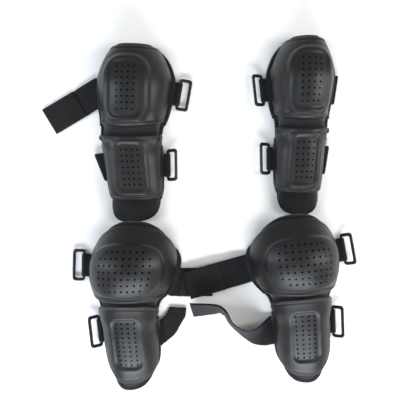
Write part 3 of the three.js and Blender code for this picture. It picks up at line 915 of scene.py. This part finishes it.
def build_shells(g):
    def all_of(s, y):
        return True

    def in_oval(s, y):
        return abs(s / 50) ** 2.4 + abs((y - KNEE_CUP_MIDDLE) / 37) ** 2.4 < 1

    cup_u, plate_u = g.panel
    if g.is_knee:
        plate_name = f"{g.name}_shin_plate"
        forms = (knee_cup_form, knee_cup_detail), (knee_lower_form, knee_lower_detail)
        holes = ((cup_u, 1.75, spaced(9, 10.3), spaced(7, 10.3, KNEE_CUP_MIDDLE), in_oval),
                 (plate_u, 1.75, spaced(4, 10.4), spaced(10, 8.2, SHIN_MIDDLE), all_of))
    else:
        plate_name = f"{g.name}_forearm_plate"
        forms = (elbow_cup_form, elbow_detail), (elbow_lower_form, elbow_detail)
        holes = ((cup_u, 1.7, spaced(4, 9.8), spaced(8, 9.9, ELBOW_CUP_MIDDLE + 2), all_of),
                 (plate_u, 1.7, spaced(4, 9.0), spaced(7, 9.8, FOREARM_MIDDLE), all_of))
    cup = shell(g, f"{g.name}_cup", g.lip_at, lambda u: g.top_at(u) - UPPER_MARGIN, *forms[0],
                holes[0])
    settle(cup, f"{g.name}_upper", "shell", f"{g.name}_cup_shell")
    plate = shell(g, plate_name, g.lower_end_at, g.lower_top_at, *forms[1], holes[1])
    settle(plate, f"{g.name}_lower", "shell", f"{g.name}_lower_shell")


def pad_limit(g, upper):
    """How far each point of a pad may swell: little under a shell or at the edge, more where the
    cloth is bare."""
    def limit(world_points):
        x, y, _ = g.local(world_points).T
        inside = smooth(2, 12, g.half_at(y) - np.abs(x - g.centre_at(y)))
        if upper:
            bare = 1 - smooth(0, 8, g.top - UPPER_MARGIN - y)
        else:
            bare = 1 - smooth(-6, 4, y - g.lower_end)
        return MM * (0.5 + inside * (0.5 + 2.2 * bare))
    return limit


LINER_ROW = 4.2  # length of the liners' grid cells
WAIST_TUCK = 5.0  # the waist cloth lies this far past the liners' ends


def build_liner(g, upper):
    part = f"{g.name}_upper" if upper else f"{g.name}_lower"
    liner = Liner(g, g.pad if upper else g.pad - 2, end="head" if upper else "tail")
    if upper:
        rows = int(g.top / LINER_ROW)
        outer, inner = liner.grids(rows, lambda u: g.upper_liner_start(u) + WAIST_TUCK,
                                   lambda u: g.top_at(u) - EDGE_ROUND - 0.8)
    else:
        rows = int(-g.tip / LINER_ROW)
        outer, inner = liner.grids(rows, lambda u: g.tip_at(u) + EDGE_ROUND - 2,
                                   lambda u: g.lower_liner_top(u) - WAIST_TUCK)
    points, faces = skin(outer, inner, 0.9)
    obj = make(f"{part}_pad", g.world(points), faces, CLOTH)
    puff(obj, pad_limit(g, upper))
    settle(obj, part, "liner", f"{part}_liner")
    if not upper:
        outer, inner = outer[::-1], inner[::-1]
    bind(g, part, outer, inner)


def bind(g, part, outer, inner):
    """The tape bound round the liner's free edge, up one side, across the last row and down the
    other side, with its row of stitches."""
    last_row, last = len(outer) - 1, outer.shape[1] - 1
    reach = 2  # the tape covers the edge this many grid lines in
    way = ([(r, 0, r, reach) for r in range(1, last_row - 1)]
           + [(last_row, c, last_row - 1, c) for c in range(1, last)]
           + [(r, last, r, last - reach) for r in range(last_row - 2, 0, -1)])
    i, j, back_i, back_j = np.array(way).T
    out_edge, in_edge, out_back = outer[i, j], inner[i, j], outer[back_i, back_j]
    for _ in range(3):
        for row in (out_edge, in_edge, out_back):
            row[1:-1] = (row[:-2] + 2 * row[1:-1] + row[2:]) / 4
    thick = np.linalg.norm(out_edge - in_edge, axis=1, keepdims=True)
    up = (out_edge - in_edge) / thick
    back = square_to(out_back - out_edge, up)
    reach_mm, tape = 5.0, 0.9
    middle, radius = (out_edge + in_edge) / 2, thick / 2
    profile = []
    for r in (radius + tape, radius):
        layer = [middle + up * r + back * reach_mm * s for s in (1.0, 0.5, 0.0)]
        layer += [middle + up * r * math.cos(a) - back * (r * 0.9) * math.sin(a)
                  for a in np.radians([30, 60, 90, 120, 150])]
        layer += [middle - up * r + back * reach_mm * s for s in (0.0, 0.5, 1.0)]
        profile.append(layer)
    ring = np.stack(profile[0] + profile[1][::-1], 1)
    n, m = ring.shape[:2]
    faces = tube_faces(n, m)
    for base, turn in ((0, 1), ((n - 1) * m, -1)):
        faces += [(base + c, base + m - 1 - c, base + m - 2 - c, base + c + 1)[::turn]
                  for c in range(m // 2 - 1)]
    uvs = [(along * MM * UV_SCALE, across * MM * UV_SCALE)
           for along in distances(middle) for across in distances(ring[n // 2])]
    binding = make(f"{part}_binding", g.world(ring), faces, BINDING, uvs)
    settle(binding, part, "liner")
    seam = resample(middle + up * (radius + tape + 0.1) + back * (reach_mm - 1.3), 3)
    normals = picked(up, np.linspace(0, 1, len(up)), np.linspace(0, 1, len(seam)))
    row = stitches(f"{part}_binding_stitches", g, seam, normals)
    settle(row, part, "liner")


def build_waist(g):
    """The bare stretch cloth at the waist, with small folds in it."""
    liner = Liner(g, g.pad - 3, SHELL_THICK + SHELL_AIR - 1.1)
    outer, inner = liner.grids(34, lambda u: g.lower_liner_top(u) - 12,
                               lambda u: g.upper_liner_start(u) + 12)
    x, y, _ = np.moveaxis(outer, -1, 0)
    strength = window(y, (g.split + g.pivot) / 2, 8, 14)
    folds = (np.sin(2 * math.pi * (y + 0.05 * x) / 6.4 + 1.3 * waves(x, y, 5)) * 0.55
             + 0.8 * waves(x * 1.4, y * 2, 7))
    out = outer - np.array([0, 0, 20.0])
    out[..., 0] -= g.centre_at(y)
    out[..., 1] = 0
    points, faces = skin(outer + unit(out) * (folds * strength)[..., None] * 0.8, inner, 0.6)
    obj = make(f"{g.name}_waist_cloth", g.world(points), faces, CLOTH)
    subdivide(obj)
    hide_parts(f"{g.name}_waist_band")
    a, b = g.world([[0, g.pivot + 20, 30], [0, g.pivot - 16, 30]])
    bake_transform(obj)


def build_rings(g):
    for level, y, tilt in zip(("upper", "lower"), g.rings_at, g.tilts):
        point, out, along = g.edge(g.side, y)
        build_ring(g, level, point, out, along, math.radians(tilt))
        build_tab(g, level, point, out, along)


def rounded_loop(x0, y0, x1, y1, r, parts=8):
    """Points round a rounded rectangle, so many on each corner and side."""
    def around(centre, degrees):
        a = math.radians(degrees)
        return centre[0] + r * math.cos(a), centre[1] + r * math.sin(a)

    loop = []
    corners = [(x1 - r, y0 + r), (x1 - r, y1 - r), (x0 + r, y1 - r), (x0 + r, y0 + r)]
    for k, centre in enumerate(corners):
        start = 90 * (k - 1)
        loop += [around(centre, start + 90 * t / parts) for t in range(parts + 1)]
        sx, sy = loop[-1]
        ex, ey = around(corners[(k + 1) % 4], start + 90)
        loop += [(sx + (ex - sx) * t / parts, sy + (ey - sy) * t / parts)
                 for t in range(1, parts)]
    return np.array(loop)


def build_ring(g, level, point, out, along, tilt):
    """A moulded loop of squarish section, whose inner bar lies in the tab."""
    outer = rounded_loop(-2, -28.5, 21, 28.5, 6)
    slot = rounded_loop(2, -22.5, 15.5, 22.5, 3)
    leaned = out * math.cos(tilt) + UP * math.sin(tilt)
    raised = UP * math.cos(tilt) - out * math.sin(tilt)
    bar = point + out * TAB_REACH + UP * EDGE_HEIGHT
    section, squareness, half_thick = 14, 0.72, 2.0
    points = []
    for o, i in zip(outer, slot):
        for a in np.linspace(0, 2 * math.pi, section, endpoint=False):
            c, z = (math.copysign(abs(v) ** squareness, v) for v in (math.cos(a), math.sin(a)))
            x, y = i + (o - i) * (0.5 + 0.5 * c)
            points.append(bar + leaned * x + along * y + raised * half_thick * z)
    faces = tube_faces(len(outer), section, closed=True)
    obj = make(f"{g.name}_{level}_strap_ring", g.world(points), faces, RING)
    subdivide(obj)
    settle(obj, f"{g.name}_{level}_ring", "ring", f"{g.name}_{level}_ring")


def build_tab(g, level, point, out, along):
    """Folded webbing: from the liner's edge round the ring's inner bar and back."""
    root, half, radius = -EDGE_CLEAR - 1.5, 20.6, 4.2
    line = [(root, 1.0), (0.2, 1.3)]
    line += [(TAB_REACH + radius * math.cos(a), radius * math.sin(a))
             for a in np.linspace(math.radians(150), math.radians(-150), 17)]
    line += [(0.2, -1.3), (root, -1.0)]
    centre = np.array([point + out * x + UP * (EDGE_HEIGHT + z) for x, z in line])
    edges = np.stack([centre - along * half, centre + along * half], 1)
    obj = ribbon(f"{g.name}_{level}_tab_loop", g, resample(edges, 1.3), 1.5, WEBBING,
                 round_share=0.04)
    settle(obj, f"{g.name}_{level}", "webbing", f"{g.name}_{level}_ring_tab")
    seam = [point + out * 1.4 + along * t + UP * (EDGE_HEIGHT + 2.0)
            for t in np.linspace(-19, 19, 14)]
    row = stitches(f"{g.name}_{level}_tab_stitches", g, seam, [UP] * len(seam), 3.6, 2.5)
    settle(row, f"{g.name}_{level}", "webbing")


# ------------------------------------------------------------------ straps
def lying_strap(g, y, length, degrees, height):
    """A strap that lies out from the guard at an angle, at this height."""
    point, out, along = g.edge(-g.side, y)
    side = math.copysign(1, out[0])
    heading = math.radians(degrees)
    away = np.array([side * math.cos(heading), -math.sin(heading), 0])
    slant = math.acos(np.clip(away @ out, -1, 1))
    half = WEBBING_WIDTH / 2
    wide = np.array([-side * away[1], side * away[0], 0]) * half
    root = along * half / math.cos(slant)
    square = half * math.tan(slant)

    def pair(distance, z, across=wide):
        middle = point + away * distance + UP * z
        return [middle - across, middle + across]

    rows = [pair(0, EDGE_HEIGHT, root), pair(square + 8, (EDGE_HEIGHT + height) / 2),
            pair(square + 18, height)]
    rows += [pair(d, height) for d in np.linspace(square + 30, length, 6)]
    return np.array(rows)


def tucked_strap(g, y, length, fold):
    """A strap folded back under its guard. fold is how far out its two corners show."""
    point, out, along = g.edge(-g.side, y)
    upper = STRAP_LIFT + WING_THICK / 2 - 1
    turn = WEBBING_THICK * 0.6
    middle, bulge = (upper + LYING) / 2, (upper - LYING) / 2
    fold = np.array(fold)

    def pair(outs, z):
        return [point + out * o + along * s * WEBBING_WIDTH / 2 + UP * z
                for o, s in zip(outs, (-1, 1))]

    rows = [pair((0, 0), upper), pair(fold - turn, upper)]
    for a in np.radians([45, 0, -45]):
        rows.append(pair(fold - turn * (1 - math.cos(a)), middle + bulge * math.sin(a)))
    rows.append(pair(fold - turn, LYING))
    rows += [pair((-d, -d), LYING) for d in np.linspace(length * 0.2, length, 5)]
    return np.array(rows)


def curled_strap(g, rows):
    """A strap that curls on the surface, from pairs of edge points."""
    return np.array(rows, float).reshape(-1, 2, 3)


def halved(rows):
    """Curled rows with one more between each two, which keeps the curve close to them."""
    rows = np.array(rows, float)
    out = np.empty((2 * len(rows) - 1, rows.shape[1]))
    out[::2], out[1::2] = rows, (rows[:-1] + rows[1:]) / 2
    return out


CURLED_LEFT = [
    [53.5, -28, 5.2, 54, -74, 5.2],
    [62, -20, 3, 78, -53, 3],
    [65, -13, LYING, 96, -22, LYING],
    [68, -7, LYING, 97, -9, LYING],
]
CURLED_RIGHT = [
    [-54, -30, 5.2, -51.5, -80, 5.2],
    [-66, -38, 12, -68, -82, 2],
    [-82, -43, 34, -88, -76, 3],
    [-100, -42, 48, -106, -60, 4],
    [-120, -27, 52, -125, -38, 4],
    [-131, -4, 50, -137, -16, 4],
    [-144, 5, 42, -149, -16, 4],
    [-190, 11, 38, -187, -18, 4],
]


# How each guard's upper and lower straps lie.
STRAPS = {
    "elbow_left": [(lying_strap, 70, 96, 31, LYING), (tucked_strap, -60, 74, (3, 15))],
    "elbow_right": [(tucked_strap, 64, 88, (3, 3)), (tucked_strap, -60, 58, (3, 6))],
    "knee_left": [(lying_strap, 39, 62, 0, LYING), (curled_strap, halved(CURLED_LEFT))],
    "knee_right": [(lying_strap, 58, 108, 10.6, 8.5), (curled_strap, CURLED_RIGHT)],
}


def build_straps(g):
    for level, (shape, *sizes) in zip(("upper", "lower"), STRAPS[g.name]):
        edges = resample(shape(g, *sizes), 2.5)
        build_strap(g, level, edges)
        build_root(g, level, edges[0])


def build_strap(g, level, edges):
    """The webbing of one strap, with its hook tape and the tape's stitches."""
    body = f"{g.name}_{level}_strap"
    steps = distances(edges.mean(1))
    strap = ribbon(f"{body}_webbing", g, edges, WEBBING_THICK, WEBBING, columns=19,
                   round_share=0.035, bead=0.22)
    settle(strap, body, "webbing", body)
    tape, lift = tape_on(edges, steps)
    patch = ribbon(f"{body}_hook_tape", g, tape, TAPE_THICK, HOOK, columns=19, bead=0.0, lift=lift)
    settle(patch, body, "hook", f"{g.name}_{level}_hook_patch")
    row = stitches(f"{body}_stitches", g, *tape_seam(tape, lift), 3.8, 2.6)
    settle(row, body, "hook")


def build_root(g, level, start):
    """The strap's sewn end, which stays in the liner's edge when the strap swings."""
    _, out, _ = g.edge(-g.side, g.straps_at[level == "lower"])
    rows = np.array([start - out * depth for depth in (8, 6, 4, 2, 0.35)])
    root = ribbon(f"{g.name}_{level}_strap_root", g, resample(rows, 1.5), WEBBING_THICK, WEBBING,
                  round_share=0.035)
    settle(root, f"{g.name}_{level}", "webbing")


TAPE_THICK = 1.7
TAPE_LENGTH = 62.0
TAPE_PROUD = 0.3  # the tape stands out past the webbing's edges by this


def tape_on(edges, steps):
    """The strap's last stretch, a little wider, and how far above the strap its tape lies."""
    total = steps[-1]
    tape = picked(edges, steps, np.linspace(max(total - TAPE_LENGTH, total * 0.12), total, 26))
    across = unit(tape[:, 1] - tape[:, 0])
    tape += across[:, None] * np.array([[-TAPE_PROUD], [TAPE_PROUD]])
    normal = np.cross(np.gradient(tape.mean(1), axis=0), across)
    side = math.copysign(1, normal[len(normal) // 2, 2])
    return tape, side * (WEBBING_THICK + TAPE_THICK) / 2


def tape_seam(edges, lift):
    """A path round the tape, inset from its edges, and the way up at each of its points."""
    middle = edges.mean(1)
    width = np.linalg.norm(edges[:, 1] - edges[:, 0], axis=1, keepdims=True)
    across = (edges[:, 1] - edges[:, 0]) / width
    normal = unit(np.cross(unit(np.gradient(middle, axis=0)), across)) * math.copysign(1, lift)
    raised = middle + normal * (abs(lift) + 0.9)
    inset = across * (width / 2 - 3)
    left, right, normal = (raised - inset)[1:-1], (raised + inset)[1:-1], normal[1:-1]
    top = np.linspace(left[-1], right[-1], 12)[1:-1]
    bottom = np.linspace(right[0], left[0], 12)[1:-1]
    normals = [normal, np.tile(normal[-1], (10, 1)), normal[::-1], np.tile(normal[0], (10, 1))]
    return np.concatenate([left, top, right[::-1], bottom]), np.concatenate(normals)


RIVET_PROFILE = [  # distance from the axis, height over the shell
    (0.0, -0.3), (4.9, -0.3), (5.1, 0.25), (4.9, 0.7), (4.1, 0.85), (3.9, 1.3), (3.4, 2.0),
    (2.4, 2.5), (1.5, 2.62), (1.0, 2.3), (0.0, 2.15),
]


def build_rivets(g):
    around, lift = 28, 0.6
    rings = len(RIVET_PROFILE) - 2
    for label, side in (("outer", g.side), ("inner", -g.side)):
        u, y = side * RIVET_AT, g.pivot
        seat = g.arch(u, y, 0, SHELL_FOOT)
        near = unit(g.arch(u - side * 0.02, y, 0, SHELL_FOOT) - seat)
        normal = np.array([near[2], 0, -near[0]]) * side
        if normal[0] * side < 0:
            normal = -normal
        first = np.array([0, 1.0, 0])
        second = np.cross(normal, first)
        points = []
        for radius, height in RIVET_PROFILE[1:-1]:
            for k in range(around):
                a = 2 * math.pi * k / around
                points.append(seat + normal * (height + lift)
                              + (first * math.cos(a) + second * math.sin(a)) * radius)
        bottom, top = len(points), len(points) + 1
        points += [seat + normal * (RIVET_PROFILE[k][1] + lift) for k in (0, -1)]
        faces = tube_faces(rings, around)
        faces += [(bottom, (k + 1) % around, k) for k in range(around)]
        faces += [(top, (rings - 1) * around + k, (rings - 1) * around + (k + 1) % around)
                  for k in range(around)]
        obj = make(f"{g.name}_{label}_rivet_head", g.world(points), faces, RIVET)
        settle(obj, f"{g.name}_lower", "rivet", f"{g.name}_{label}_rivet")


guards = {name: Guard(name, spec) for name, spec in GUARDS.items()}
for guard in guards.values():
    build_shells(guard)
    build_liner(guard, True)
    build_liner(guard, False)
    build_waist(guard)
    build_rings(guard)
    build_straps(guard)
    build_rivets(guard)


# ------------------------------------------------------------------ floor, light and camera
def plain_material(name, colour, roughness):
    return Nodes(name).finish(Base_Color=(*colour, 1), Roughness=roughness, Specular_IOR_Level=0.1)


def area(name, location, aim, size, power, colour):
    light = bpy.data.lights.new(name, "AREA")
    light.shape = "RECTANGLE"
    light.size, light.size_y = size
    light.energy = power
    light.color = colour
    obj = bpy.data.objects.new(name, light)
    bpy.context.scene.collection.objects.link(obj)
    obj.location = location
    obj.rotation_euler = (Vector(aim) - Vector(location)).to_track_quat("-Z", "Y").to_euler()
    return obj


FLOOR_Z = -0.0004  # just under the pieces that lie on it
floor_mesh = bpy.data.meshes.new("floor")
corners = [(x, y, FLOOR_Z) for x, y in ((-30, -30), (30, -30), (30, 30), (-30, 30))]
floor_mesh.from_pydata(corners, [], [(0, 1, 2, 3)])
floor_mesh.materials.append(plain_material("pale_floor", (0.96, 0.96, 0.96), 0.85))
floor = bpy.data.objects.new("floor", floor_mesh)
bpy.context.scene.collection.objects.link(floor)

world = bpy.data.worlds.new("studio")
world.use_nodes = True
background = world.node_tree.nodes["Background"].inputs
background["Color"].default_value = (0.95, 0.97, 1.0, 1)
background["Strength"].default_value = 0.47
bpy.context.scene.world = world
area("key_below", (0.05, -1.5, 0.9), (0, -0.05, 0.03), (1.7, 0.45), 42, (0.9, 0.95, 1.0))
area("cool_left", (-1.4, 0.1, 0.9), (0, 0, 0.03), (0.4, 1.6), 15, (0.84, 0.91, 1.0))
area("warm_right", (1.5, 0.0, 1.1), (0, 0, 0.03), (0.6, 1.4), 22, (1.0, 0.95, 0.85))

camera_data = bpy.data.cameras.new("camera")
camera_data.sensor_width = 36
camera_data.lens = 45.6
camera = bpy.data.objects.new("camera", camera_data)
bpy.context.scene.collection.objects.link(camera)
aim = (guards["knee_left"].origin + (139.7, 166.5, 0)) * MM
camera.location = (aim[0], aim[1], 0.95)
camera.rotation_euler = (0, 0, 0)
bpy.context.scene.camera = camera
bpy.context.scene.view_settings.view_transform = "Standard"
